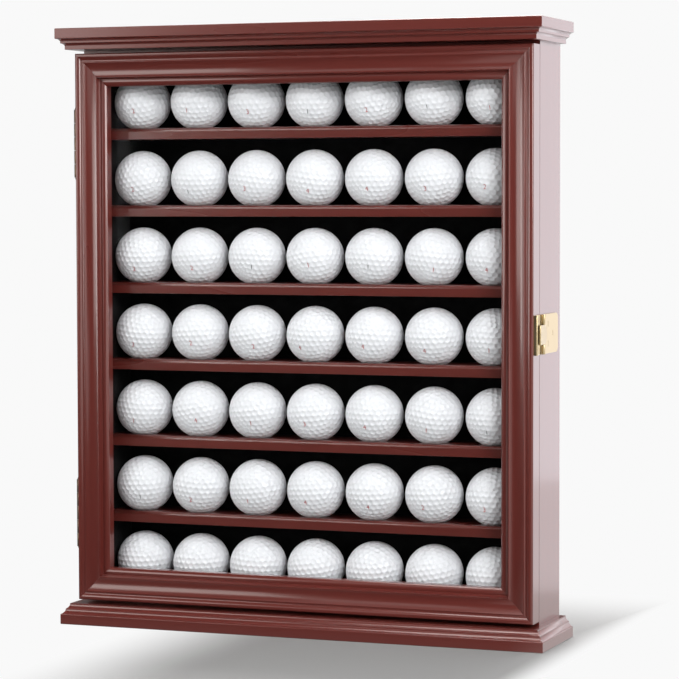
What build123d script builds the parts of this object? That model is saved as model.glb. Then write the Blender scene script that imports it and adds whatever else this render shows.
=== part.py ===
from build123d import *
import math
import os

# Golf ball display case: a shallow hinged case that holds seven rows of seven balls behind a clear pane.
# Millimetres. +Z up, +X to the right as seen from the front, and the front faces -Y.
# The origin is at the centre of the overall footprint, on the underside of the base.

# Balls and their grid
ball_diameter = 42.67
rows = 7
columns = 7
ball_side_gap = 3.63
ball_head_room = 8.38
ball_sink = 2.0
ball_back_gap = 2.5
ball_front_gap = 0.13

# Case
side_thickness = 15.9
bottom_thickness = 11.2
top_thickness = 8.9
shelf_thickness = 8.4
shelf_setback = 5.5
shelf_edge_radius = 2.6
dado_depth = 5.0
back_thickness = 4.0
back_recess = 2.0
back_rebate = 4.0
felt_thickness = 0.8
side_felt_thickness = 0.6
seat_clearance = 0.3
round_share = 0.45

# Base and crown
base_fascia_height = 7.8
base_height = 15.3
base_side_overhang = 10.4
base_front_overhang = 9.5
base_moulding_width = 5.4
base_fillet_height = 0.9
base_step_height = 0.6
base_hollow = 0.45
crown_fascia_height = 7.8
crown_height = 15.6
crown_side_overhang = 10.0
crown_front_overhang = 12.7
crown_moulding_width = 5.6
crown_fillet_height = 2.9
crown_step_height = 1.5
crown_hollow = 0.35
board_edge_radius = 0.6

# Door
door_thickness = 15.9
door_gap = 0.6
door_bottom_gap = 2.6
door_top_gap = 2.7
frame_reveal = 8.6
frame_edge_radius = 1.6
edge_flat = 0.8
roll_width = 2.1
roll_fall = 1.0
roll_height = 0.2
quirk_width = 1.9
quirk_rise = 0.5
quirk_hollow = 0.3
fillet_width = 0.4
cove_width = 10.8
cove_hollow = 1.5
ridge_width = 0.4
step_width = 1.3
step_depth = 3.9
step_hollow = 0.25
groove_width = 0.5
lip_setback = 4.5
lip_height = 0.9
pane_setback = 11.4
pane_thickness = 2.0
pane_edge_margin = 1.1
pane_play = 0.5
stop_width = 5.5
stop_thickness = 1.5
bumper_radius = 4.0
bumper_inset = 20.0

# Hinges
hinge_height = 51.0
hinge_upper_inset = 66.5
hinge_lower_inset = 63.5
hinge_axis_offset = 5.3
knuckle_radius = 3.0
hinge_pin_radius = 1.3
hinge_tip_radius = 2.4
hinge_tip_height = 1.6
hinge_tip_rounding = 1.0
knuckle_count = 5
knuckle_gap = 0.3
leaf_thickness = 1.0
leaf_gap = 0.3
leaf_cover = 10.5
leaf_screws = 3

# Latch
latch_height = 28.2
latch_plate_length = 42.2
latch_plate_thickness = 1.0
latch_corner_radius = 4.5
latch_front_margin = 0.3
latch_pair_back = 13.9
latch_rear_screw_inset = 13.0
latch_axis_back = 3.9
latch_axis_out = 1.7
latch_knuckle_radius = 1.4
latch_pin_radius = 0.6
lever_height = 13.8
lever_gap = 0.3
lever_thickness = 1.0
lever_dome = 1.1
lever_roll_radius = 0.8
lever_tip_gap = 0.8
keeper_thickness = 0.8
keeper_front_margin = 2.2
keeper_ridge_width = 2.0
keeper_ridge_height = 2.7
catch_rib_height = 0.8
catch_rib_width = 1.2
catch_rib_length = 6.0
catch_bite = 0.5
catch_play = 0.3

# Fasteners
running_clearance = 0.05
screw_clearance = 0.04
hinge_screw = dict(shank=1.0, head=1.9, length=9.0)
latch_screw = dict(shank=1.1, head=2.1, length=10.0)
keeper_screw = dict(shank=0.9, head=1.6, length=8.0)
hanger_screw = dict(shank=1.2, head=2.3, length=14.0)
board_screw = dict(shank=1.9, head=3.8, length=27.0)
crown_screw = dict(shank=1.9, head=3.8, length=18.0)
back_screw = dict(shank=0.9, head=1.7, length=7.0)
screw_slot_width = 0.5
screw_slot_depth = 0.4
head_relief = 2.0
screw_inset = 11.0
back_screw_inset = 39.4

# Wall hangers
hanger_edge_margin = 0.45
hanger_height = 46.0
hanger_thickness = 1.6
hanger_drop = 34.0
keyhole_radius = 3.8
keyhole_slot_radius = 2.0
keyhole_slot_rise = 11.0
keyhole_pocket_margin = 1.0
keyhole_pocket_depth = 9.0

# Places that follow from the sizes above
ball_radius = ball_diameter / 2
ball_pitch = ball_diameter + ball_side_gap
row_pitch = shelf_thickness + ball_diameter - ball_sink + ball_head_room
inner_width = columns * ball_pitch
case_width = inner_width + 2 * side_thickness
half_case = case_width / 2
half_inner = inner_width / 2
inner_height = rows * row_pitch - shelf_thickness
inner_floor = base_height + bottom_thickness
inner_ceiling = inner_floor + inner_height
case_top_z = inner_ceiling + top_thickness
door_recess = door_gap + door_thickness - pane_setback - pane_thickness - stop_thickness
ball_room = ball_back_gap + ball_diameter + ball_front_gap
case_depth = back_recess + back_thickness + felt_thickness + ball_room - door_recess
front_overhang = max(base_front_overhang, crown_front_overhang)
front_reach = case_depth + door_gap + door_thickness
back_y = (front_reach + front_overhang) / 2
case_front_y = back_y - case_depth
door_back_y = case_front_y - door_gap
door_front_y = door_back_y - door_thickness
panel_front_y = back_y - back_recess - back_thickness
felt_front_y = panel_front_y - felt_thickness
shelf_front_y = case_front_y + shelf_setback
ball_y = felt_front_y - ball_back_gap - ball_radius
ball_over_shelf = ball_radius - ball_sink
door_bottom_z = base_height + door_bottom_gap
door_top_z = case_top_z - door_top_gap
door_height = door_top_z - door_bottom_z
door_middle_z = (door_bottom_z + door_top_z) / 2
frame_width = side_thickness + frame_reveal
pane_edge = side_thickness + pane_edge_margin
bumper_thickness = door_gap - seat_clearance
hanger_width = side_thickness - back_rebate - 2 * hanger_edge_margin
hanger_x = half_case - (side_thickness - back_rebate) / 2
hinge_y = case_front_y - door_gap / 2
hinge_x = -half_case - hinge_axis_offset
hinge_heights = {
    "upper": door_top_z - hinge_upper_inset,
    "lower": door_bottom_z + hinge_lower_inset,
}
latch_axis_y = case_front_y + latch_axis_back
latch_axis_x = half_case + latch_axis_out
latch_front_y = case_front_y + latch_front_margin
latch_rear_y = latch_front_y + latch_plate_length
keeper_front_y = door_front_y + keeper_front_margin
ridge_back_y = keeper_front_y + keeper_ridge_width
keeper_back_y = door_back_y - latch_front_margin
catch_rib_y = (keeper_back_y + ridge_back_y) / 2
lever_reach = latch_axis_y - lever_roll_radius - lever_tip_gap - ridge_back_y


def box(x_range, y_range, z_range):
    """A block between two limits on each axis."""
    size = [high - low for low, high in (x_range, y_range, z_range)]
    middle = [(high + low) / 2 for low, high in (x_range, y_range, z_range)]
    return Pos(*middle) * Box(*size)


def outline(start, *steps):
    """A closed face, drawn anticlockwise. A step (x, y) is a line, and (x, y, dent) an arc dented in."""
    edges = []
    here = start
    for step in steps:
        end = step[:2]
        if len(step) == 3:
            edges.append(SagittaArc(here, end, step[2]))
        else:
            edges.append(Line(here, end))
        here = end
    if here != start:
        edges.append(Line(here, start))
    return make_face(edges)


def rounding(radius):
    """The dent of a quarter round, which bulges."""
    return radius * (math.sqrt(0.5) - 1)


def within(radius, wall):
    """A rounding's radius, kept small enough for its wall."""
    return min(radius, round_share * wall)


def compound(solids):
    """Identical separate pieces that share one node."""
    return Compound(children=list(solids))


def screw(shank, head, length, grow=0.0):
    """A slotted countersunk screw, its head's face at Z=0 and its shank along -Z. grow makes its hole."""
    head_depth = head - shank
    body = Pos(0, 0, -length / 2) * Cylinder(shank + grow, length)
    cone = Pos(0, 0, -head_depth / 2) * Cone(shank + grow, head + grow, head_depth)
    whole = body + cone
    if grow == 0:
        slot = Box(4 * head, screw_slot_width, 2 * screw_slot_depth)
        whole -= slot
    return whole


def screw_hole(size):
    """The hole that a screw of this size fits, open above its head."""
    relief = Pos(0, 0, head_relief / 2) * Cylinder(size["head"] + screw_clearance, head_relief)
    return screw(**size, grow=screw_clearance) + relief


# Places of the screws: each points its head along the direction that it is driven from
facing_back = Rot(-90, 0, 0)
facing_front = Rot(90, 0, 0)
facing_right = Rot(0, 90, 0)
facing_down = Rot(180, 0, 0)


def hinge_screw_places(side):
    """Three screws in each hinge leaf. side is 1 on the case and -1 on the door."""
    x = -half_case + leaf_cover / 2
    y = hinge_y + side * leaf_gap / 2
    turn = facing_front if side > 0 else facing_back
    step = hinge_height / leaf_screws
    for middle in hinge_heights.values():
        for count in range(leaf_screws):
            yield Pos(x, y, middle + (count - (leaf_screws - 1) / 2) * step) * turn


def latch_screw_places():
    """Two screws behind the latch's knuckles and one near the rear of its plate."""
    x = half_case + latch_plate_thickness
    pair_y = latch_axis_y + latch_pair_back
    rear_y = latch_rear_y - latch_rear_screw_inset
    for y, z in ((pair_y, latch_height / 4), (pair_y, -latch_height / 4), (rear_y, 0)):
        yield Pos(x, y, door_middle_z + z) * facing_right


def keeper_screw_places():
    """One screw near each end of the keeper, above and below its rib."""
    z = lever_height / 2 + (latch_height - lever_height) / 4
    for side in (1, -1):
        yield Pos(half_case + keeper_thickness, catch_rib_y, door_middle_z + side * z) * facing_right


def base_screw_places():
    """Two screws up through the base into the lower end of each side."""
    for x in (-half_case + side_thickness / 2, half_case - side_thickness / 2):
        for y in (back_y - screw_inset, case_front_y + screw_inset):
            yield Pos(x, y, 0) * facing_down


def crown_screw_places():
    """Four screws up through the top board into the crown."""
    for x in (-half_inner + 2 * screw_inset, half_inner - 2 * screw_inset):
        for y in (panel_front_y - screw_inset, case_front_y + screw_inset):
            yield Pos(x, y, inner_ceiling) * facing_down


def back_screw_places():
    """Screws through the back panel into the rebates of the sides, the top board and the bottom board."""
    edge = back_rebate / 2
    y = back_y - back_recess
    middle = (inner_floor + inner_ceiling) / 2
    for x in (-half_inner - edge, half_inner + edge):
        for z in (inner_floor + back_screw_inset, middle, inner_ceiling - back_screw_inset):
            yield Pos(x, y, z) * facing_back
    for z in (inner_floor - edge, inner_ceiling + edge):
        yield Pos(0, y, z) * facing_back


def hanger_middles():
    """Centres of the keyholes, in the back edge of each side."""
    for side in (-1, 1):
        yield side * hanger_x, case_top_z - hanger_drop


def hanger_screw_places():
    """One screw above and one below each keyhole."""
    end = hanger_height / 2 - 2 * hanger_screw["head"]
    for x, z in hanger_middles():
        for side in (1, -1):
            yield Pos(x, back_y, z + keyhole_slot_rise / 2 + side * end) * facing_back


def drilled(shape, size, places):
    """The shape with a screw hole at each place."""
    for place in places:
        shape -= place * screw_hole(size)
    return shape


def screws(size, places):
    """One node's screws."""
    return compound(place * screw(**size) for place in places)


def edge_prism(section, half_length):
    """A long moulded edge along X. The section's first axis runs back, from the edge inwards."""
    return extrude(Plane.YZ * section, half_length, both=True)


def moulded_board(half_width, front_y, section_for):
    """A board with one moulding run round its front and both sides, mitred at the corners."""
    depth = back_y - front_y
    reach = 2 * (half_width + depth)
    front = Pos(0, front_y, 0) * edge_prism(section_for(depth), reach)
    right = Pos(half_width, 0, 0) * Rot(0, 0, 90) * edge_prism(section_for(2 * half_width), reach)
    left = Pos(-half_width, 0, 0) * Rot(0, 0, -90) * edge_prism(section_for(2 * half_width), reach)
    return front & right & left


def base_section(reach):
    """The base's edge: a square fascia, two hollows with a step between them, and a small fillet on top."""
    r = board_edge_radius
    w = base_moulding_width
    low = base_fascia_height
    high = base_height - base_fillet_height
    middle = (w + r) / 2
    step_top = (high + low + base_step_height) / 2
    step_bottom = step_top - base_step_height
    return outline(
        (r, 0), (reach, 0), (reach, base_height), (w, base_height), (w, high),
        (middle, step_top, base_hollow), (middle, step_bottom), (r, low, base_hollow),
        (0, low - r, rounding(r)), (0, r), (r, 0, rounding(r)),
    )


def crown_section(reach):
    """The crown's edge: a fillet below, two hollows with a step between them, and a square fascia above."""
    r = board_edge_radius
    w = crown_moulding_width
    low = crown_fillet_height
    high = crown_height - crown_fascia_height
    middle = (w + r) / 2
    step_top = (high + low + crown_step_height) / 2
    step_bottom = step_top - crown_step_height
    return outline(
        (w, 0), (reach, 0), (reach, crown_height), (r, crown_height), (0, crown_height - r, rounding(r)),
        (0, high + r), (r, high, rounding(r)), (middle, step_top, crown_hollow), (middle, step_bottom),
        (w, low, crown_hollow),
    )


def base_board():
    """The base: one routed board that the case stands on."""
    board = moulded_board(half_case + base_side_overhang, door_front_y - base_front_overhang, base_section)
    return drilled(board, board_screw, base_screw_places())


def crown_board():
    """The crown: one routed board on top of the case."""
    half_width = half_case + crown_side_overhang
    board = moulded_board(half_width, door_front_y - crown_front_overhang, crown_section)
    return drilled(Pos(0, 0, case_top_z) * board, crown_screw, crown_screw_places())


def shelf_top_z(level):
    """The upper face of a shelf. Level 0 is the floor of the case."""
    return inner_floor + level * row_pitch


def shelf_blank(level):
    """A shelf before its seats and rounded edge, with its ends in the sides."""
    half = half_inner + dado_depth
    top = shelf_top_z(level)
    return box((-half, half), (shelf_front_y, felt_front_y), (top - shelf_thickness, top))


def ball_places(level):
    """Centres of one row's balls."""
    for column in range(columns):
        x = (column - (columns - 1) / 2) * ball_pitch
        yield Pos(x, ball_y, shelf_top_z(level) + ball_over_shelf)


def ball_seats(level):
    """The shallow round seats that hold one row's balls."""
    return [place * Sphere(ball_radius + seat_clearance) for place in ball_places(level)]


def shelf(level):
    """A shelf with a rounded upper front edge and one seat for each ball."""
    board = shelf_blank(level)
    edge = board.edges().filter_by(Axis.X).group_by(Axis.Y)[0].sort_by(Axis.Z)[-1]
    board = fillet(edge, within(shelf_edge_radius, shelf_thickness))
    return board - ball_seats(level)


def ball_row(level):
    """One row of balls."""
    return compound(place * Sphere(ball_radius) for place in ball_places(level))


def leaf_y_range(side):
    """Front and back of the hinge leaves on the case (side 1) or the door (side -1)."""
    inner = hinge_y + side * leaf_gap / 2
    return sorted((inner, inner + side * leaf_thickness))


def leaf_recesses(side):
    """What the hinge leaves take out of the case (side 1) or the door (side -1)."""
    x_range = (hinge_x, -half_case + leaf_cover)
    recesses = []
    for middle in hinge_heights.values():
        z_range = (middle - hinge_height / 2, middle + hinge_height / 2)
        recesses.append(box(x_range, leaf_y_range(side), z_range))
    return recesses


def case_side(sign):
    """A side: dados for the shelves, a rebate for the back and a pocket behind the hanger plate."""
    x_range = sorted((sign * half_inner, sign * half_case))
    panel = box(x_range, (case_front_y, back_y), (base_height, case_top_z))
    rebate_x = sorted((sign * half_inner, sign * (half_inner + back_rebate)))
    rebate_z = (inner_floor - back_rebate, inner_ceiling + back_rebate)
    panel -= box(rebate_x, (panel_front_y, back_y), rebate_z)
    for level in range(1, rows):
        panel -= shelf_blank(level)
    panel -= hanger_recess(sign)
    panel = drilled(panel, board_screw, base_screw_places())
    panel = drilled(panel, back_screw, back_screw_places())
    panel = drilled(panel, hanger_screw, hanger_screw_places())
    if sign < 0:
        panel -= leaf_recesses(1)
        return drilled(panel, hinge_screw, hinge_screw_places(1))
    return drilled(panel, latch_screw, latch_screw_places())


def case_bottom():
    """The floor of the case, with the lowest row's seats."""
    x_range = (-half_inner, half_inner)
    board = box(x_range, (case_front_y, back_y), (base_height, inner_floor))
    board -= box(x_range, (panel_front_y, back_y), (inner_floor - back_rebate, inner_floor))
    board = drilled(board, back_screw, back_screw_places())
    return board - ball_seats(0)


def case_top():
    """The top board of the case, between the sides."""
    x_range = (-half_inner, half_inner)
    board = box(x_range, (case_front_y, back_y), (inner_ceiling, case_top_z))
    board -= box(x_range, (panel_front_y, back_y), (inner_ceiling, inner_ceiling + back_rebate))
    board = drilled(board, back_screw, back_screw_places())
    return drilled(board, crown_screw, crown_screw_places())


def back_panel():
    """The thin back, let into rebates all round."""
    half = half_inner + back_rebate
    z_range = (inner_floor - back_rebate, inner_ceiling + back_rebate)
    panel = box((-half, half), (panel_front_y, panel_front_y + back_thickness), z_range)
    return drilled(panel, back_screw, back_screw_places())


def felt_back():
    """The felt on the back panel, between the sides, behind the shelves."""
    return box((-half_inner, half_inner), (felt_front_y, panel_front_y), (inner_floor, inner_ceiling))


def felt_side(sign):
    """The felt strips on one side, one between each pair of shelves."""
    x_range = sorted((sign * half_inner, sign * (half_inner - side_felt_thickness)))
    strips = []
    for level in range(rows):
        low = shelf_top_z(level)
        high = shelf_top_z(level + 1) - shelf_thickness
        strips.append(box(x_range, (shelf_front_y, felt_front_y), (low, high)))
    return compound(strips)


def frame_section():
    """The door frame's moulding. The first axis runs inwards from the outer edge, the second backwards."""
    r = frame_edge_radius
    roll_start = r + edge_flat
    quirk_start = roll_start + roll_width
    fillet_start = quirk_start + quirk_width
    cove_start = fillet_start + fillet_width
    cove_end = cove_start + cove_width
    step_start = cove_end + ridge_width
    groove_start = step_start + step_width
    lip_start = groove_start + groove_width
    fillet_depth = roll_fall - quirk_rise
    return outline(
        (0, door_thickness), (0, r), (r, 0, rounding(r)), (roll_start, 0),
        (quirk_start, roll_fall, -roll_height), (fillet_start, fillet_depth, quirk_hollow),
        (cove_start, fillet_depth), (cove_end, 0, cove_hollow), (step_start, 0),
        (groove_start, step_depth, step_hollow), (lip_start, step_depth),
        (frame_width, lip_setback, -lip_height), (frame_width, pane_setback), (pane_edge, pane_setback),
        (pane_edge, door_thickness),
    )


def frame_member(length):
    """One mitred length of door frame, outer edge down, centred on X=0, front at Y=0."""
    across = Plane((0, 0, 0), x_dir=(0, 0, 1), z_dir=(-1, 0, 0))
    bar = extrude(across * frame_section(), length / 2, both=True)
    half = length / 2
    short = half - frame_width
    trapezoid = outline((-half, 0), (half, 0), (short, frame_width), (-short, frame_width))
    return bar & extrude(Plane.XZ * trapezoid, 2 * door_thickness, both=True)


def at_door(turn, shift_x, z):
    """Puts a frame member or stop on the door, turned about its front-to-back axis."""
    return Pos(shift_x, door_front_y, z) * Rot(0, turn, 0)


def door_stile(sign):
    """An upright of the door frame, with the hinge leaves or the keeper's screws let in."""
    stile = at_door(-90 * sign, sign * half_case, door_middle_z) * frame_member(door_height)
    if sign < 0:
        stile -= leaf_recesses(-1)
        return drilled(stile, hinge_screw, hinge_screw_places(-1))
    return drilled(stile, keeper_screw, keeper_screw_places())


def door_rail(sign):
    """The top (sign 1) or bottom (sign -1) rail of the door frame."""
    turn = 180 if sign > 0 else 0
    z = door_top_z if sign > 0 else door_bottom_z
    return at_door(turn, 0, z) * frame_member(2 * half_case)


def rabbet_box(inset, depth_range):
    """A block inside the door's rabbet, inset from the rabbet's walls."""
    edge = pane_edge + inset
    y_range = (door_front_y + depth_range[0], door_front_y + depth_range[1])
    return box((-half_case + edge, half_case - edge), y_range, (door_bottom_z + edge, door_top_z - edge))


def door_pane():
    """The clear pane, loose in its rabbet by a small play."""
    return rabbet_box(pane_play, (pane_setback, pane_setback + pane_thickness))


def pane_stop(side):
    """One of the four strips that hold the pane from behind. The upright ones run the full height."""
    start = pane_setback + pane_thickness
    ring = rabbet_box(0, (start, start + stop_thickness)) - rabbet_box(stop_width, (0, 2 * door_thickness))
    edge = pane_edge + stop_width
    left = box((-half_case, -half_case + edge), (door_front_y, door_back_y), (door_bottom_z, door_top_z))
    right = mirror(left, Plane.YZ)
    if side == "left":
        return ring & left
    if side == "right":
        return ring & right
    half = box((-half_case, half_case), (door_front_y, door_back_y), (door_bottom_z, door_middle_z))
    rest = ring - left - right
    return rest & half if side == "bottom" else rest - half


def door_bumpers():
    """Two thin felt dots on the back of the door that meet the case when it shuts."""
    x = half_case - side_thickness / 2
    turn = Rot(90, 0, 0)
    middle_y = door_back_y + bumper_thickness / 2
    heights = (door_bottom_z + bumper_inset, door_top_z - bumper_inset)
    return compound(Pos(x, middle_y, z) * turn * Cylinder(bumper_radius, bumper_thickness) for z in heights)


def hinge_leaf(place, side):
    """A hinge leaf and its knuckles. Side 1 is on the case and takes the odd knuckles, -1 is on the door."""
    middle = hinge_heights[place]
    bottom = middle - hinge_height / 2
    step = hinge_height / knuckle_count
    plate = box((hinge_x, -half_case + leaf_cover), leaf_y_range(side), (bottom, bottom + hinge_height))
    for count in range(knuckle_count):
        middle_z = bottom + (count + 0.5) * step
        if (count % 2 == 0) == (side > 0):
            plate += Pos(hinge_x, hinge_y, middle_z) * Cylinder(knuckle_radius, step - knuckle_gap)
        else:
            notch = Cylinder(knuckle_radius + knuckle_gap, step + knuckle_gap)
            plate -= Pos(hinge_x, hinge_y, middle_z) * notch
    bore = hinge_pin_radius + running_clearance
    plate -= Pos(hinge_x, hinge_y, middle) * Cylinder(bore, 2 * hinge_height)
    return drilled(plate, hinge_screw, hinge_screw_places(side))


def hinge_pin(place):
    """The loose pin, with a small round tip above and below the knuckles."""
    pin = Cylinder(hinge_pin_radius, hinge_height)
    tip = Cylinder(hinge_tip_radius, hinge_tip_height)
    tip = fillet(tip.faces().sort_by(Axis.Z)[-1].edges(), hinge_tip_rounding)
    tip = Pos(0, 0, (hinge_height + hinge_tip_height) / 2) * tip
    return Pos(hinge_x, hinge_y, hinge_heights[place]) * (pin + tip + mirror(tip, Plane.XY))


latch_axis = Pos(latch_axis_x, latch_axis_y, door_middle_z)


def latch_plate():
    """The latch's plate on the side of the case, with two rolled ears that hold the lever's pin."""
    x_range = (half_case, half_case + latch_plate_thickness)
    z_range = (door_middle_z - latch_height / 2, door_middle_z + latch_height / 2)
    plate = box(x_range, (latch_front_y, latch_rear_y), z_range)
    rear = plate.edges().filter_by(Axis.X).group_by(Axis.Y)[-1]
    plate = fillet(rear, within(latch_corner_radius, latch_height))
    plate += latch_axis * Cylinder(latch_knuckle_radius, latch_height)
    window = latch_knuckle_radius + lever_gap
    plate -= latch_axis * Box(
        2 * (latch_axis_out + latch_knuckle_radius), 2 * window, lever_height + 2 * lever_gap
    )
    plate -= latch_axis * Cylinder(latch_pin_radius, 2 * latch_height)
    return drilled(plate, latch_screw, latch_screw_places())


def latch_pin():
    """The latch's pin, a close fit in the two ears."""
    return latch_axis * Cylinder(latch_pin_radius, latch_height)


def latch_lever():
    """The thumb lever: a knuckle on the pin, a domed tongue over the seam, a nib below and a rolled tip."""
    half = lever_height / 2
    low = latch_axis_out + latch_knuckle_radius - lever_thickness
    dome = outline(
        (low, -half), (low + lever_thickness, -half), (low + lever_thickness, half, -lever_dome),
        (low, half), (low, -half, lever_dome),
    )
    tongue = extrude(Plane.XZ * dome, lever_reach)
    place = Pos(half_case, latch_axis_y, door_middle_z)
    lever = place * tongue + latch_axis * Cylinder(latch_knuckle_radius, lever_height)
    roll_x = half_case + low + lever_thickness + lever_roll_radius / 2
    roll = Cylinder(lever_roll_radius, lever_height)
    lever += Pos(roll_x, latch_axis_y - lever_reach, door_middle_z) * roll
    nib_low = half_case + keeper_thickness + catch_rib_height - catch_bite
    nib_high = half_case + low + lever_dome + lever_thickness / 2
    rib_front = catch_rib_y - catch_rib_width / 2
    nib_y = (rib_front - catch_play - catch_rib_width, rib_front - catch_play)
    nib_z = (door_middle_z - catch_rib_length / 2, door_middle_z + catch_rib_length / 2)
    lever += box((nib_low, nib_high), nib_y, nib_z)
    return lever - latch_axis * Cylinder(latch_pin_radius + running_clearance, 2 * latch_height)


def latch_keeper():
    """The keeper on the door: a plate, a ridge at its front and a rib that the lever catches."""
    z_range = (door_middle_z - latch_height / 2, door_middle_z + latch_height / 2)
    keeper = box((half_case, half_case + keeper_thickness), (keeper_front_y, keeper_back_y), z_range)
    ridge = box((half_case, half_case + keeper_ridge_height), (keeper_front_y, ridge_back_y), z_range)
    crest = ridge.edges().filter_by(Axis.Z).group_by(Axis.X)[-1]
    keeper += fillet(crest, within(keeper_ridge_width / 2, keeper_ridge_width))
    rib_y = (catch_rib_y - catch_rib_width / 2, catch_rib_y + catch_rib_width / 2)
    rib_z = (door_middle_z - catch_rib_length / 2, door_middle_z + catch_rib_length / 2)
    keeper += box((half_case, half_case + keeper_thickness + catch_rib_height), rib_y, rib_z)
    return drilled(keeper, keeper_screw, keeper_screw_places())


def keyhole(radius, slot_radius, depth):
    """A keyhole for a wall screw: a round hole with a narrower slot above it, cut forwards from Y=0."""
    hole = Cylinder(radius, depth)
    slot = Pos(0, -keyhole_slot_rise / 2, 0) * Box(2 * slot_radius, keyhole_slot_rise, depth)
    end = Pos(0, -keyhole_slot_rise, 0) * Cylinder(slot_radius, depth)
    return Pos(0, -depth / 2, 0) * Rot(-90, 0, 0) * (hole + slot + end)


def hanger_outline(sign):
    """The hanger plate before its keyhole: a strip with round ends, flush with the back edge of a side."""
    x = sign * hanger_x
    z = case_top_z - hanger_drop + keyhole_slot_rise / 2
    strip = Pos(x, back_y - hanger_thickness / 2, z) * Box(hanger_width, hanger_thickness, hanger_height)
    return fillet(strip.edges().filter_by(Axis.Y), within(hanger_width / 2, hanger_width))


def hanger_recess(sign):
    """What a hanger plate takes out of a side, with the pocket for the wall screw's head behind it."""
    slot_radius = keyhole_slot_radius + 2 * keyhole_pocket_margin
    pocket = keyhole(keyhole_radius + keyhole_pocket_margin, slot_radius, keyhole_pocket_depth)
    return hanger_outline(sign) + Pos(sign * hanger_x, back_y, case_top_z - hanger_drop) * pocket


def hanger_plate(sign):
    """A keyhole hanger plate, let into the back edge of a side."""
    cut = keyhole(keyhole_radius, keyhole_slot_radius, 3 * hanger_thickness)
    cut = Pos(sign * hanger_x, back_y + hanger_thickness, case_top_z - hanger_drop) * cut
    return drilled(hanger_outline(sign) - cut, hanger_screw, hanger_screw_places())


pieces = {
    "base_board": base_board(),
    "crown_board": crown_board(),
    "case_side_left": case_side(-1),
    "case_side_right": case_side(1),
    "case_bottom": case_bottom(),
    "case_top": case_top(),
    "back_panel": back_panel(),
    "felt_back": felt_back(),
    "felt_side_left": felt_side(-1),
    "felt_side_right": felt_side(1),
    "door_stile_left": door_stile(-1),
    "door_stile_right": door_stile(1),
    "door_rail_top": door_rail(1),
    "door_rail_bottom": door_rail(-1),
    "door_pane": door_pane(),
    "door_bumpers": door_bumpers(),
    "latch_plate": latch_plate(),
    "latch_pin": latch_pin(),
    "latch_lever": latch_lever(),
    "latch_keeper": latch_keeper(),
    "hanger_plate_left": hanger_plate(-1),
    "hanger_plate_right": hanger_plate(1),
    "hinge_case_screws": screws(hinge_screw, hinge_screw_places(1)),
    "hinge_door_screws": screws(hinge_screw, hinge_screw_places(-1)),
    "latch_plate_screws": screws(latch_screw, latch_screw_places()),
    "latch_keeper_screws": screws(keeper_screw, keeper_screw_places()),
    "hanger_screws": screws(hanger_screw, hanger_screw_places()),
    "base_screws": screws(board_screw, base_screw_places()),
    "crown_screws": screws(crown_screw, crown_screw_places()),
    "back_panel_screws": screws(back_screw, back_screw_places()),
}
for level in range(1, rows):
    pieces[f"shelf_{level}"] = shelf(level)
for level in range(rows):
    pieces[f"ball_row_{level + 1}"] = ball_row(level)
for side in ("left", "right", "top", "bottom"):
    pieces[f"pane_stop_{side}"] = pane_stop(side)
for place in hinge_heights:
    pieces[f"hinge_{place}_case_leaf"] = hinge_leaf(place, 1)
    pieces[f"hinge_{place}_door_leaf"] = hinge_leaf(place, -1)
    pieces[f"hinge_{place}_pin"] = hinge_pin(place)

os.makedirs("parts", exist_ok=True)
for name, shape in pieces.items():
    export_step(shape, f"parts/{name}.step")
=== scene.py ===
import math
import random

import bmesh
import bpy
from mathutils import Matrix, Vector
from mathutils.bvhtree import BVHTree


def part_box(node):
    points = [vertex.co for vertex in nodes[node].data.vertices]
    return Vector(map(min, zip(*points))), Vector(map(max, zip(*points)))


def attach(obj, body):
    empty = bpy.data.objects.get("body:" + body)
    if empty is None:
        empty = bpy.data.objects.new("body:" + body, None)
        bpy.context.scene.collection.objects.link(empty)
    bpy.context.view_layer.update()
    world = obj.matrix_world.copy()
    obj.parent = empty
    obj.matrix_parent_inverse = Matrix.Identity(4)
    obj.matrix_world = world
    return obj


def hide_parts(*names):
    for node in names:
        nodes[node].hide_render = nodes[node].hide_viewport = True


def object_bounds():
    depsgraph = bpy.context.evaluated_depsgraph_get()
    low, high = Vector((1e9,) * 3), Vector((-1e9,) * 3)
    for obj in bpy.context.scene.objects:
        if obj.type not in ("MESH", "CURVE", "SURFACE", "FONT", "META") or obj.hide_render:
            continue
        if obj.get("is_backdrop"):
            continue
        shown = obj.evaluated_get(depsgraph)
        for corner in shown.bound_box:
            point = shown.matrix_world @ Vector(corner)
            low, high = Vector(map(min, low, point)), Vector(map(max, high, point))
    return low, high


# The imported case: every node, body and joint, in metres. Lengths of pieces below are in millimetres and
# times mm. The places of lamps and camera, and the spans of the floor, are in metres.
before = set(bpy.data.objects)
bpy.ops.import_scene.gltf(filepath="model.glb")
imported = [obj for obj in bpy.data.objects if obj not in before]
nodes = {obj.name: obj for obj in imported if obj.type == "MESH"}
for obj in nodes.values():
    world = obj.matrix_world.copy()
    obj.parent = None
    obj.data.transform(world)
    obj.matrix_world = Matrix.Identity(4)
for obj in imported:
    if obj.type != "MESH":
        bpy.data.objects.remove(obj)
cad_low, cad_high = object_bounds()
mm = 0.001


# ---------------------------------------------------------------------------------------------------------
# The studio. A pale sweep of floor and a white surround, dimmer towards the front and the left of the
# room, and eleven soft boxes: a key at the right front, weaker ones around, above and behind the case,
# and two close to its right side.
# ---------------------------------------------------------------------------------------------------------

def feed(tree, node, values=(), links=()):
    """Sets a node's sockets to values, and links the sockets that feed it."""
    for name, value in dict(values).items():
        node.inputs[name].default_value = value
    for name, socket in dict(links).items():
        tree.links.new(socket, node.inputs[name])
    return node


def wire(tree, kind, values=(), links=(), **settings):
    """Adds a node of one kind and feeds it."""
    made = tree.nodes.new(kind)
    for name, value in settings.items():
        setattr(made, name, value)
    return feed(tree, made, values, links)


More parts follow.
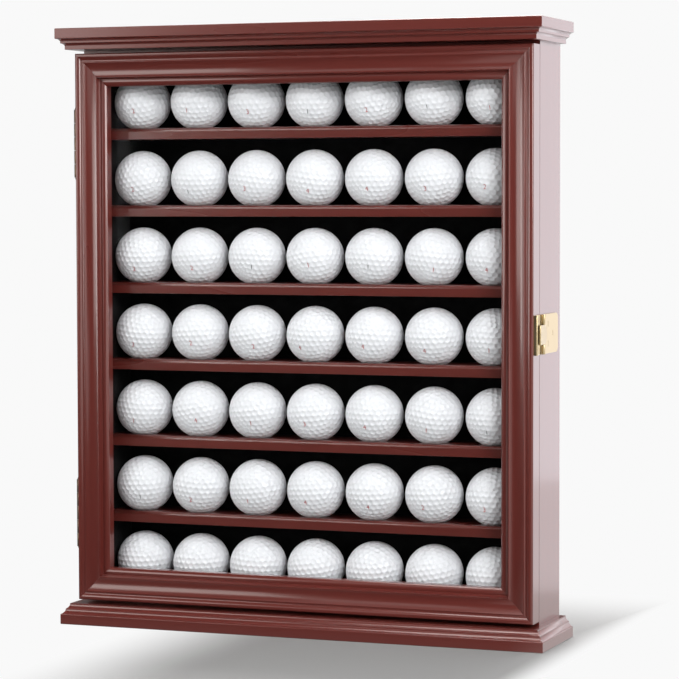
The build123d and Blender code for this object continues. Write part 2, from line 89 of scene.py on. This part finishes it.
def mapped(tree, value, span=(0, 1), levels=(0, 1), **settings):
    """A socket's value over a span, mapped to two levels and held at both ends."""
    ends = {"From Min": span[0], "From Max": span[1], "To Min": levels[0], "To Max": levels[1]}
    return wire(tree, "ShaderNodeMapRange", ends, {"Value": value}, **settings).outputs[0]


def either(tree, first, second):
    """The larger of two sockets, which is their union where both are zero or one."""
    return wire(tree, "ShaderNodeMath", links={0: first, 1: second}, operation="MAXIMUM").outputs[0]


surround_white, surround_dim = 0.947, 0.10
front_wall, left_wall = 0.04, 0.15
front_span, left_span = (-0.35, 0.35), (-0.30, -0.05)
world = bpy.data.worlds.new("studio_surround")
bpy.context.scene.world = world
world.use_nodes = True
tree = world.node_tree
tree.nodes.clear()
path = wire(tree, "ShaderNodeLightPath")
direction = wire(tree, "ShaderNodeSeparateXYZ",
                 links={0: wire(tree, "ShaderNodeTexCoord").outputs["Generated"]})
dim = wire(tree, "ShaderNodeBackground", {"Color": (0.96, 0.98, 1.0, 1), "Strength": surround_dim})
towards_back = mapped(tree, direction.outputs["Y"], front_span, (front_wall, surround_white),
                      interpolation_type="SMOOTHSTEP")
towards_right = mapped(tree, direction.outputs["X"], left_span, (left_wall, 1),
                       interpolation_type="SMOOTHSTEP")
seen = wire(tree, "ShaderNodeMath", links={0: towards_back, 1: towards_right}, operation="MULTIPLY")
mirrored = wire(tree, "ShaderNodeBackground", {"Color": (1, 1, 1, 1)}, {"Strength": seen.outputs[0]})
white = wire(tree, "ShaderNodeBackground", {"Color": (1, 1, 1, 1), "Strength": surround_white})
glossy = wire(tree, "ShaderNodeMixShader",
              links={0: path.outputs["Is Glossy Ray"], 1: dim.outputs[0], 2: mirrored.outputs[0]})
straight = either(tree, path.outputs["Is Camera Ray"], path.outputs["Is Transmission Ray"])
mixed = wire(tree, "ShaderNodeMixShader", links={0: straight, 1: glossy.outputs[0], 2: white.outputs[0]})
wire(tree, "ShaderNodeOutputWorld", links={"Surface": mixed.outputs[0]})

# The floor takes the shadow in front of the case and fades into the surround to its sides and further out.
# Lacquer mirrors it as dark as the front wall, up to the two spans over which it brightens to white.
floor_reach, floor_cells = 6.0, 24
left_fade, right_fade = (-0.01, -0.13), (0.185, 0.215)
front_fade, back_fade = (-0.22, -0.42), (0.05, 0.25)
mirrored_back, mirrored_right = (-0.10, 0.15), (0.15, 0.19)
paper_grey = (0.28, 0.278, 0.273, 1)
bm = bmesh.new()
bmesh.ops.create_grid(bm, x_segments=floor_cells, y_segments=floor_cells, size=floor_reach)
floor_mesh = bpy.data.meshes.new("floor")
bm.to_mesh(floor_mesh)
bm.free()
floor = bpy.data.objects.new("floor", floor_mesh)
bpy.context.scene.collection.objects.link(floor)
floor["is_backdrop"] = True
floor_paint = bpy.data.materials.new("floor_paper")
floor_paint.use_nodes = True
tree = floor_paint.node_tree
tree.nodes.clear()
along = wire(tree, "ShaderNodeSeparateXYZ", links={0: wire(tree, "ShaderNodeTexCoord").outputs["Object"]})
fade = None
for axis, span in (("X", left_fade), ("X", right_fade), ("Y", front_fade), ("Y", back_fade)):
    edge = mapped(tree, along.outputs[axis], span, interpolation_type="SMOOTHSTEP")
    fade = either(tree, fade, edge) if fade else edge
paper = wire(tree, "ShaderNodeBsdfDiffuse", {"Color": paper_grey})
path = wire(tree, "ShaderNodeLightPath")
mirrored = None
for axis, span in (("Y", mirrored_back), ("X", mirrored_right)):
    edge = mapped(tree, along.outputs[axis], span, (front_wall, surround_white))
    mirrored = either(tree, mirrored, edge) if mirrored else edge
brightness = wire(tree, "ShaderNodeMix", {2: surround_white},
                  {0: path.outputs["Is Glossy Ray"], 3: mirrored}, data_type="FLOAT")
glow = wire(tree, "ShaderNodeEmission", {"Color": (1, 1, 1, 1)}, {"Strength": brightness.outputs[0]})
straight = either(tree, path.outputs["Is Camera Ray"], path.outputs["Is Transmission Ray"])
faded = wire(tree, "ShaderNodeMath", links={0: fade, 1: straight}, operation="MULTIPLY")
share = either(tree, faded.outputs[0], path.outputs["Is Glossy Ray"])
mixed = wire(tree, "ShaderNodeMixShader", links={0: share, 1: paper.outputs[0], 2: glow.outputs[0]})
wire(tree, "ShaderNodeOutputMaterial", links={"Surface": mixed.outputs[0]})
floor_mesh.materials.append(floor_paint)

case_middle = (cad_low + cad_high) / 2


def soft_box(name, place, aim, size, radiance, tint=(1, 1, 1)):
    """A rectangular soft box. radiance is how bright its own cloth looks."""
    light = bpy.data.lights.new(name, "AREA")
    light.shape = "RECTANGLE"
    light.size, light.size_y = size
    light.energy = radiance * math.pi * size[0] * size[1]
    light.color = tint
    made = bpy.data.objects.new(name, light)
    made.location = place
    made.rotation_mode = "QUATERNION"
    made.rotation_quaternion = (Vector(aim) - Vector(place)).to_track_quat("-Z", "Y")
    made.visible_camera = False
    bpy.context.scene.collection.objects.link(made)


cool, warm = (0.99, 0.99, 1.0), (1.0, 0.99, 0.98)
soft_box("key_box", (1.35, -1.21, 1.07), case_middle, (0.95, 0.85), 9.8, cool)
soft_box("upper_box", (0.63, -1.35, 1.56), case_middle, (0.9, 0.8), 1.4, cool)
soft_box("front_box", (-0.40, -1.61, 1.34), case_middle, (0.9, 0.7), 1.0, cool)
soft_box("left_box", (-1.35, -1.40, 0.68), case_middle, (1.1, 0.9), 3.5, warm)
soft_box("left_strip", (-1.84, -0.75, 0.43), case_middle, (0.4, 1.0), 7.0)
soft_box("low_right_box", (1.34, -1.49, 0.29), case_middle, (1.1, 0.6), 1.6)
soft_box("over_strip", (-0.25, -0.20, 1.75), case_middle, (1.4, 0.45), 7.5)
soft_box("right_box", (1.89, -0.40, 0.74), case_middle, (0.7, 0.9), 5.0)
soft_box("back_box", (-0.10, 0.62, 1.9), case_middle, (0.8, 0.5), 34.0)
soft_box("side_box", (0.31, 0.21, 0.36), (0.18, 0.0, 0.36), (0.34, 0.54), 0.95, (0.96, 0.95, 1.04))
soft_box("low_side_box", (0.31, 0.21, 0.045), (0.18, 0.0, 0.045), (0.34, 0.09), 0.5, (1.0, 0.93, 1.0))

camera_place = (0.7250, -1.8344, 0.3218)
camera_turn = (86.905, 0.135, 20.949)
camera_lens, camera_sensor = 142.70, 36.0
camera_data = bpy.data.cameras.new("camera")
camera_data.lens = camera_lens
camera_data.sensor_width = camera_sensor
camera = bpy.data.objects.new("camera", camera_data)
camera.location = camera_place
camera.rotation_euler = [math.radians(turn) for turn in camera_turn]
bpy.context.scene.collection.objects.link(camera)
bpy.context.scene.camera = camera
bpy.context.scene.view_settings.view_transform = "Standard"


# ---------------------------------------------------------------------------------------------------------
# Base and crown. Two routed boards of close-grained hardwood, stained and sprayed with red-brown lacquer.
# The sharp arrises of every wooden piece are eased by a fraction of a millimetre, as sanding leaves them.
# ---------------------------------------------------------------------------------------------------------

weld_reach, flat_turn, sharp_turn = 0.002, 0.3, 35
board_edge = 0.25


def soften(node, width, segments=2):
    """Eases a piece's sharp edges. Coplanar faces are joined first, so only real edges are rounded."""
    weld = node.modifiers.new("weld", "WELD")
    weld.merge_threshold = weld_reach * mm
    flat = node.modifiers.new("flat_faces", "DECIMATE")
    flat.decimate_type = "DISSOLVE"
    flat.angle_limit = math.radians(flat_turn)
    ease = node.modifiers.new("eased_edges", "BEVEL")
    ease.width = width * mm
    ease.segments = segments
    ease.limit_method = "ANGLE"
    ease.angle_limit = math.radians(sharp_turn)
    ease.harden_normals = True


def finish(node, material):
    """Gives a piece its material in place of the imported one."""
    node.data.materials.clear()
    node.data.materials.append(material)


def principled(name):
    """A new material, its node tree, its Principled shader and the piece's own coordinates."""
    material = bpy.data.materials.new(name)
    material.use_nodes = True
    tree = material.node_tree
    place = wire(tree, "ShaderNodeTexCoord").outputs["Object"]
    return material, tree, tree.nodes["Principled BSDF"], place


def noise(tree, place, **values):
    """A noise texture's value. The values go to its sockets of those names."""
    return wire(tree, "ShaderNodeTexNoise", values, {"Vector": place}).outputs["Fac"]


def scaled(tree, place, scale):
    """Coordinates times one scale for each axis."""
    return wire(tree, "ShaderNodeVectorMath", {1: scale}, {0: place}, operation="MULTIPLY").outputs[0]


def colour_ramp(tree, value, *stops):
    """A colour ramp through stops, each a position and a colour."""
    ramp = wire(tree, "ShaderNodeValToRGB", links={"Fac": value})
    elements = ramp.color_ramp.elements
    for element, (position, colour) in zip(elements, (stops[0], stops[-1])):
        element.position = position
        element.color = (*colour, 1)
    for position, colour in stops[1:-1]:
        elements.new(position).color = (*colour, 1)
    return ramp.outputs[0]


def between(tree, share, first, second):
    """A colour that goes from the first to the second with a socket's value."""
    return wire(tree, "ShaderNodeMix", {6: (*first, 1), 7: (*second, 1)}, {0: share},
                data_type="RGBA").outputs[2]


def mahogany(name, grain, dark=(0.106, 0.0175, 0.0134), mid=(0.117, 0.0199, 0.0153),
             pale=(0.128, 0.0226, 0.0173)):
    """Stained, lacquered wood whose grain runs along one axis (0, 1 or 2): long soft streaks in a broad
    drift of tone, fine pores that dimple the lacquer, and the faint orange peel of a sprayed coat."""
    piece_shift, drift_share = 3.7, 0.45
    pore_span, pore_tone, pore_share, pore_relief = (0.66, 0.78), 0.6, 0.35, -0.5
    material, tree, shader, place = principled(name)
    piece = wire(tree, "ShaderNodeObjectInfo")
    shift = wire(tree, "ShaderNodeMath", {1: piece_shift}, {0: piece.outputs["Random"]},
                 operation="MULTIPLY")
    moved = wire(tree, "ShaderNodeVectorMath", links={0: place, 1: shift.outputs[0]}, operation="ADD")

    def grain_noise(along, across, detail):
        scale = [across] * 3
        scale[grain] = along
        squeezed = scaled(tree, moved.outputs[0], scale)
        return noise(tree, squeezed, Scale=1.0, Detail=detail, Roughness=0.55)

    streaks = grain_noise(along=5, across=150, detail=3)
    drift = grain_noise(along=3, across=22, detail=2)
    tone = wire(tree, "ShaderNodeMix", {0: drift_share}, {2: streaks, 3: drift}, data_type="FLOAT")
    wood = colour_ramp(tree, tone.outputs[0], (0.25, dark), (0.5, mid), (0.75, pale))
    pores = mapped(tree, grain_noise(along=90, across=1900, detail=1), pore_span)
    stain = wire(tree, "ShaderNodeMath", {1: pore_share}, {0: pores}, operation="MULTIPLY")
    stained = wire(tree, "ShaderNodeMix", {7: (*(pore_tone * value for value in dark), 1)},
                   {0: stain.outputs[0], 6: wood}, data_type="RGBA")
    peel = noise(tree, place, Scale=420.0, Detail=2.0)
    relief = wire(tree, "ShaderNodeMath", {1: pore_relief}, {0: pores, 2: peel}, operation="MULTIPLY_ADD")
    bump = wire(tree, "ShaderNodeBump", {"Strength": 0.04, "Distance": 0.03 * mm},
                {"Height": relief.outputs[0]})
    feed(tree, shader, {"IOR": 1.52, "Coat Weight": 0.6, "Coat Roughness": 0.15,
                        "Specular Tint": (1.0, 0.84, 0.78, 1)},
         {"Base Color": stained.outputs[2], "Roughness": mapped(tree, drift, levels=(0.25, 0.31)),
          "Normal": bump.outputs[0]})
    return material


lacquer_across = mahogany("mahogany_lacquer_across", grain=0)
for name in ("base_board", "crown_board"):
    finish(nodes[name], lacquer_across)
    soften(nodes[name], board_edge)


# ---------------------------------------------------------------------------------------------------------
# Case. Two sides with upright grain, and a top and a floor between them, of the same lacquered wood as
# the base. They are glued, and screwed through the base and the crown. The floor has the lowest seats.
# ---------------------------------------------------------------------------------------------------------
side_edge, board_edge_inside = 0.3, 0.15
lacquer_upright = mahogany("mahogany_lacquer_upright", grain=2)
for name in ("case_side_left", "case_side_right"):
    finish(nodes[name], lacquer_upright)
    soften(nodes[name], side_edge)
for name in ("case_top", "case_bottom"):
    finish(nodes[name], lacquer_across)
    soften(nodes[name], board_edge_inside, 1)


# ---------------------------------------------------------------------------------------------------------
# Shelves. Six thin boards of the same lacquered wood, let into dados in the sides and glued. Each has a
# rounded upper front edge and seven shallow round seats, cut before lacquering.
# ---------------------------------------------------------------------------------------------------------
shelf_edge = 0.15
shelf_names = sorted(name for name in nodes if name.startswith("shelf_"))
for name in shelf_names:
    finish(nodes[name], lacquer_across)
    soften(nodes[name], shelf_edge, 1)


# ---------------------------------------------------------------------------------------------------------
# Back panel. A thin board, stained a darker brown than the wood of the case. It drops into the rebates
# of the case from behind and is screwed there.
# ---------------------------------------------------------------------------------------------------------
panel_edge = 0.15
board_stain = mahogany("panel_board_stain", 2, dark=(0.030, 0.010, 0.008), mid=(0.048, 0.017, 0.013),
                       pale=(0.072, 0.027, 0.02))
finish(nodes["back_panel"], board_stain)
soften(nodes["back_panel"], panel_edge, 1)


# ---------------------------------------------------------------------------------------------------------
# Felt. Black needle felt, glued to the inside of the back panel and to the sides between the shelves,
# and two small dots that cushion the door.
# ---------------------------------------------------------------------------------------------------------

felt_step, felt_hollow = 2.4, 0.25


def black_felt(name):
    """Matted black fibre: a soft uneven pile with a little lint, and a faint sheen."""
    material, tree, shader, place = principled(name)
    fuzz = noise(tree, place, Scale=1600.0, Detail=3.0, Roughness=0.7)
    nap = noise(tree, place, Scale=90.0, Detail=2.0)
    tone = wire(tree, "ShaderNodeMath", links={0: fuzz, 1: nap}, operation="MULTIPLY")
    pile = colour_ramp(tree, tone.outputs[0], (0.12, (0.0035, 0.0034, 0.0035)),
                       (0.45, (0.0105, 0.0102, 0.0104)))
    bump = wire(tree, "ShaderNodeBump", {"Strength": 0.6, "Distance": 0.12 * mm}, {"Height": fuzz})
    feed(tree, shader, {"Roughness": 1.0, "Specular IOR Level": 0.1, "Sheen Weight": 0.04},
         {"Base Color": pile, "Normal": bump.outputs[0]})
    return material


def felt_cut(name, low, high, face_axis, face_side, covers):
    """A cut of felt that fills a box. Its open face, on one side of one axis, lies a little unevenly."""
    across = [axis for axis in range(3) if axis != face_axis]
    counts = [max(2, round((high[axis] - low[axis]) / (felt_step * mm))) for axis in across]
    outer, inner = (high, low) if face_side > 0 else (low, high)
    thickness = high[face_axis] - low[face_axis]
    cut = bmesh.new()
    layers = []
    for layer, level in ((0, inner[face_axis]), (1, outer[face_axis])):
        rows = []
        for i in range(counts[0] + 1):
            row = []
            for j in range(counts[1] + 1):
                point = Vector((0, 0, 0))
                point[face_axis] = level
                for axis, number, count in zip(across, (i, j), counts):
                    point[axis] = low[axis] + (high[axis] - low[axis]) * number / count
                if layer:
                    point[face_axis] -= face_side * thickness * felt_hollow * fibre.random()
                row.append(cut.verts.new(point))
            rows.append(row)
        layers.append(rows)
    for rows in layers:
        for i in range(counts[0]):
            for j in range(counts[1]):
                cut.faces.new((rows[i][j], rows[i + 1][j], rows[i + 1][j + 1], rows[i][j + 1]))
    for i in range(counts[0]):
        for j in (0, counts[1]):
            cut.faces.new((layers[0][i][j], layers[0][i + 1][j], layers[1][i + 1][j], layers[1][i][j]))
    for j in range(counts[1]):
        for i in (0, counts[0]):
            cut.faces.new((layers[0][i][j], layers[0][i][j + 1], layers[1][i][j + 1], layers[1][i][j]))
    bmesh.ops.recalc_face_normals(cut, faces=cut.faces)
    mesh = bpy.data.meshes.new(name)
    cut.to_mesh(mesh)
    cut.free()
    mesh.materials.append(felt)
    made = bpy.data.objects.new(name, mesh)
    bpy.context.scene.collection.objects.link(made)
    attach(made, "case")
    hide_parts(covers)


fibre = random.Random(3)
felt = black_felt("black_felt")
low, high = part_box("felt_back")
felt_cut("back_felt", low, high, 1, -1, "felt_back")

levels = [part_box(name) for name in shelf_names]
floors = [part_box("case_bottom")[1].z] + [high.z for low, high in levels]
ceilings = [low.z for low, high in levels] + [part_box("case_top")[0].z]
for side, facing in (("left", 1), ("right", -1)):
    low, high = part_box(f"felt_side_{side}")
    for number, (floor_z, ceiling_z) in enumerate(zip(floors, ceilings)):
        felt_cut(f"side_felt_{side}_{number + 1}", Vector((low.x, low.y, floor_z)),
                 Vector((high.x, high.y, ceiling_z)), 0, facing, f"felt_side_{side}")

# The two dots are punched from the same felt.
dot_radius, dot_taper, dot_corners = 4.0, 0.99, 40
low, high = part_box("door_bumpers")
for number, middle in enumerate((low.z + dot_radius * mm, high.z - dot_radius * mm)):
    dot = bmesh.new()
    bmesh.ops.create_cone(dot, cap_ends=True, segments=dot_corners, radius1=dot_radius * mm,
                          radius2=dot_radius * dot_taper * mm, depth=high.y - low.y)
    bmesh.ops.rotate(dot, verts=dot.verts, matrix=Matrix.Rotation(math.radians(90), 3, "X"))
    bmesh.ops.translate(dot, verts=dot.verts, vec=((low.x + high.x) / 2, (low.y + high.y) / 2, middle))
    mesh = bpy.data.meshes.new(f"bumper_dot_{number + 1}")
    dot.to_mesh(mesh)
    dot.free()
    mesh.materials.append(felt)
    made = bpy.data.objects.new(f"bumper_dot_{number + 1}", mesh)
    bpy.context.scene.collection.objects.link(made)
    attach(made, "case")
    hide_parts("door_bumpers")


# ---------------------------------------------------------------------------------------------------------
# Golf balls. Forty-nine balls with moulded, white-painted covers, each with 362 dimples on a geodesic grid
# and a small play number from 1 to 4 printed on the front. Each ball sits in its own seat, turned a
# little its own way. Each ring of a dimple has a share of the radius, its points and a share of the depth.
# ---------------------------------------------------------------------------------------------------------
ball_radius = 42.67 / 2
ball_columns = 7
ball_turns = (3, 5, 7)
dimple_radius, dimple_depth, dimple_grid = 1.86, 0.48, 6
dimple_rings = ((1.0, 13, 0.0), (0.88, 13, 0.34), (0.5, 8, 0.84))
figure_height, figure_drop, text_per_height = 3.8, 8.0, 1.38
ink_thickness, ink_lift, ink_edge, ink_wear = 0.06, 0.2, 0.35, 0.06


def geodesic_directions(split):
    """Unit directions of an icosahedron's faces divided into a triangular grid, each once."""
    base = bmesh.new()
    bmesh.ops.create_icosphere(base, subdivisions=1, radius=1.0)
    found = {}
    for face in base.faces:
        a, b, c = (corner.co for corner in face.verts)
        for i in range(split + 1):
            for j in range(split + 1 - i):
                point = (a * i + b * j + c * (split - i - j)).normalized()
                found[tuple(round(value, 5) for value in point)] = point
    base.free()
    return list(found.values())


def dimpled_ball():
    """A ball's mesh: rings of points round every dimple, joined by their hull on the sphere, then sunk."""
    ball = bmesh.new()
    sunk = []
    for centre in geodesic_directions(dimple_grid):
        side = centre.orthogonal().normalized()
        other = centre.cross(side)
        sunk.append((ball.verts.new(centre), 1.0))
        for share, count, depth in dimple_rings:
            spread = share * dimple_radius / ball_radius
            for step in range(count):
                turn = 2 * math.pi * step / count
                out = side * math.cos(turn) + other * math.sin(turn)
                point = centre * math.cos(spread) + out * math.sin(spread)
                sunk.append((ball.verts.new(point), depth))
    bmesh.ops.convex_hull(ball, input=ball.verts)
    for vertex, depth in sunk:
        vertex.co *= (ball_radius - depth * dimple_depth) * mm
    for face in ball.faces:
        face.smooth = True
    return ball


def ball_paint():
    """Two-coat white paint under a clear coat, with the faintest mottle."""
    material, tree, shader, place = principled("ball_cover_paint")
    mottle = noise(tree, place, Scale=160.0, Detail=3.0)
    feed(tree, shader, {"IOR": 1.5, "Coat Weight": 0.25, "Coat Roughness": 0.15},
         {"Base Color": between(tree, mottle, (0.845, 0.848, 0.872), (0.88, 0.883, 0.905)),
          "Roughness": mapped(tree, mottle, levels=(0.30, 0.40))})
    return material


def print_ink(name, colour):
    """Pad-printed ink under the clear coat."""
    material, tree, shader, place = principled(name)
    grain = noise(tree, place, Scale=3000.0, Detail=1.0)
    worn = tuple(min(1.0, value + ink_wear) for value in colour)
    feed(tree, shader, {"Roughness": 0.35}, {"Base Color": between(tree, grain, colour, worn)})
    return material


def printed_number(figure, surface):
    """A plain figure as a skin of ink on the dimpled surface, a little below the middle of its front."""
    text = bpy.data.curves.new("figure", "FONT")
    text.body = figure
    text.size = figure_height * text_per_height
    text.align_x, text.align_y = "CENTER", "CENTER"
    text.extrude = ink_thickness / 2
    text.resolution_u = 3
    holder = bpy.data.objects.new("figure", text)
    mesh = bpy.data.meshes.new_from_object(holder)
    bpy.data.objects.remove(holder)
    bpy.data.curves.remove(text)
    ink = bmesh.new()
    ink.from_mesh(mesh)
    bpy.data.meshes.remove(mesh)
    bmesh.ops.remove_doubles(ink, verts=ink.verts, dist=0.001)
    bmesh.ops.triangulate(ink, faces=ink.faces)
    for _ in range(2):
        long_edges = [edge for edge in ink.edges if edge.calc_length() > ink_edge]
        bmesh.ops.subdivide_edges(ink, edges=long_edges, cuts=1)
        bmesh.ops.triangulate(ink, faces=ink.faces)
    for vertex in ink.verts:
        east, north = vertex.co.x / ball_radius, (vertex.co.y - figure_drop) / ball_radius
        out = Vector((math.sin(east) * math.cos(north), -math.cos(east) * math.cos(north),
                      math.sin(north)))
        hit = surface.ray_cast(out * 2 * ball_radius * mm, -out)[0]
        vertex.co = out * (hit.length + (vertex.co.z + ink_lift * ink_thickness) * mm)
    for face in ink.faces:
        face.material_index = 1
    return ink


cover_paint = ball_paint()
red_ink = print_ink("red_play_number", (0.42, 0.035, 0.035))
black_ink = print_ink("black_play_number", (0.02, 0.02, 0.022))
plain_ball = dimpled_ball()
surface = BVHTree.FromBMesh(plain_ball)
ball_meshes = []
for figure, ink_paint in (("1", red_ink), ("2", red_ink), ("3", red_ink), ("4", red_ink),
                          ("1", black_ink)):
    mesh = bpy.data.meshes.new(f"ball_number_{len(ball_meshes) + 1}")
    figure_skin = printed_number(figure, surface)
    figure_skin.to_mesh(mesh)
    figure_skin.free()
    whole = plain_ball.copy()
    whole.from_mesh(mesh)
    whole.to_mesh(mesh)
    whole.free()
    mesh.materials.append(cover_paint)
    mesh.materials.append(ink_paint)
    ball_meshes.append(mesh)
plain_ball.free()

rng = random.Random(7)
row_names = sorted(name for name in nodes if name.startswith("ball_row_"))
for row, row_name in enumerate(row_names):
    low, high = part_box(row_name)
    pitch = (high.x - low.x - 2 * ball_radius * mm) / (ball_columns - 1)
    for column in range(ball_columns):
        ball = bpy.data.objects.new(f"golf_ball_{row + 1}_{column + 1}", rng.choice(ball_meshes))
        ball.location = (low.x + ball_radius * mm + column * pitch, (low.y + high.y) / 2,
                         (low.z + high.z) / 2)
        ball.rotation_euler = [math.radians(rng.gauss(0, spread)) for spread in ball_turns]
        bpy.context.scene.collection.objects.link(ball)
        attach(ball, "case")
        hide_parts(row_name)


# ---------------------------------------------------------------------------------------------------------
# Door frame. Two stiles and two rails of one moulding in the same lacquered wood, mitred at the corners
# and glued. It hangs on two hinges at its left stile.
# ---------------------------------------------------------------------------------------------------------
moulding_edge = 0.12
for name in ("door_stile_left", "door_stile_right"):
    finish(nodes[name], lacquer_upright)
    soften(nodes[name], moulding_edge)
for name in ("door_rail_top", "door_rail_bottom"):
    finish(nodes[name], lacquer_across)
    soften(nodes[name], moulding_edge)


# ---------------------------------------------------------------------------------------------------------
# Pane. A sheet of clear acrylic that gives little glare, laid in the rabbet of the door from behind and
# held there by four strips of the same lacquered wood.
# ---------------------------------------------------------------------------------------------------------
strip_edge = 0.12


def clear_acrylic():
    """Clear sheet that takes almost no reflection face on and more along its surface, with wipe marks. The
    share comes from the facing angle, because a Fresnel node makes a mirror of the back of a sheet."""
    slant_power, slant_share, facing_share = 5.0, 0.7, 0.003
    material = bpy.data.materials.new("clear_pane_acrylic")
    material.use_nodes = True
    tree = material.node_tree
    tree.nodes.clear()
    place = wire(tree, "ShaderNodeTexCoord").outputs["Object"]
    smear = noise(tree, place, Scale=14.0, Detail=3.0, Distortion=0.6)
    through = wire(tree, "ShaderNodeBsdfTransparent", {"Color": (0.985, 0.99, 0.99, 1)})
    mirror = wire(tree, "ShaderNodeBsdfGlossy", {"Color": (0.9, 0.93, 0.95, 1)},
                  {"Roughness": mapped(tree, smear, levels=(0.02, 0.07))})
    slant = wire(tree, "ShaderNodeLayerWeight", {"Blend": 0.5}).outputs["Facing"]
    steep = wire(tree, "ShaderNodeMath", {1: slant_power}, {0: slant}, operation="POWER")
    share = wire(tree, "ShaderNodeMath", {1: slant_share, 2: facing_share}, {0: steep.outputs[0]},
                 operation="MULTIPLY_ADD")
    mixed = wire(tree, "ShaderNodeMixShader",
                 links={0: share.outputs[0], 1: through.outputs[0], 2: mirror.outputs[0]})
    wire(tree, "ShaderNodeOutputMaterial", links={"Surface": mixed.outputs[0]})
    return material


finish(nodes["door_pane"], clear_acrylic())
for side in ("left", "right", "top", "bottom"):
    strip = nodes[f"pane_stop_{side}"]
    finish(strip, lacquer_upright if side in ("left", "right") else lacquer_across)
    soften(strip, strip_edge, 1)


# ---------------------------------------------------------------------------------------------------------
# Brassware. Two loose-pin butt hinges let into the left edge, in the same plated brass painted much darker
# as the shade on that edge, and a box latch on the right, plated bright: a plate with a sprung thumb
# lever, and a keeper on the door. All of it is stamped and rolled brass, fixed with small screws.
brass_edge = 0.08


def plated_brass(name, deep, light):
    """Plated brass with hairline marks, and a little cloudiness between a deep and a light tone."""
    hair_scale = (3000, 3000, 250)
    material, tree, shader, place = principled(name)
    cloud = noise(tree, place, Scale=120.0, Detail=3.0)
    hairs = noise(tree, scaled(tree, place, hair_scale), Scale=1.0, Detail=2.0)
    bump = wire(tree, "ShaderNodeBump", {"Strength": 0.12, "Distance": 0.02 * mm}, {"Height": hairs})
    feed(tree, shader, {"Metallic": 1.0},
         {"Base Color": between(tree, cloud, deep, light),
          "Roughness": mapped(tree, cloud, levels=(0.26, 0.40)), "Normal": bump.outputs[0]})
    return material


brass = plated_brass("polished_brass_plate", (0.42, 0.32, 0.16), (0.52, 0.42, 0.26))
# The hinges get the same plated brass in a much darker tone: painted shade for the shaded left edge of the
# door.
shaded_hinge_brass = plated_brass("shaded_hinge_brass_plate", (0.10, 0.065, 0.04), (0.15, 0.10, 0.065))
for name in nodes:
    if name.startswith(("hinge_", "latch_")):
        finish(nodes[name], brass if name.startswith("latch_") else shaded_hinge_brass)
        soften(nodes[name], brass_edge)


# ---------------------------------------------------------------------------------------------------------
# Steel. Keyhole hangers, pressed from sheet and screwed into the back edges of the sides, and the screws
# that hold the base, the crown and the back panel. All of it is zinc plated.
# ---------------------------------------------------------------------------------------------------------
steel_edge = 0.08


def zinc_plate():
    """Dull bluish zinc with a fine spangle."""
    material, tree, shader, place = principled("zinc_plated_steel")
    spangle = wire(tree, "ShaderNodeTexVoronoi", {"Scale": 700.0}, {"Vector": place}).outputs["Distance"]
    feed(tree, shader, {"Metallic": 1.0},
         {"Base Color": between(tree, spangle, (0.50, 0.51, 0.53), (0.66, 0.67, 0.68)),
          "Roughness": mapped(tree, spangle, levels=(0.30, 0.45))})
    return material


zinc = zinc_plate()
for name in ("hanger_plate_left", "hanger_plate_right", "hanger_screws", "base_screws", "crown_screws",
             "back_panel_screws"):
    finish(nodes[name], zinc)
    soften(nodes[name], steel_edge)


# ---------------------------------------------------------------------------------------------------------
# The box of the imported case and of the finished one, for comparison.
# ---------------------------------------------------------------------------------------------------------
low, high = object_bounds()
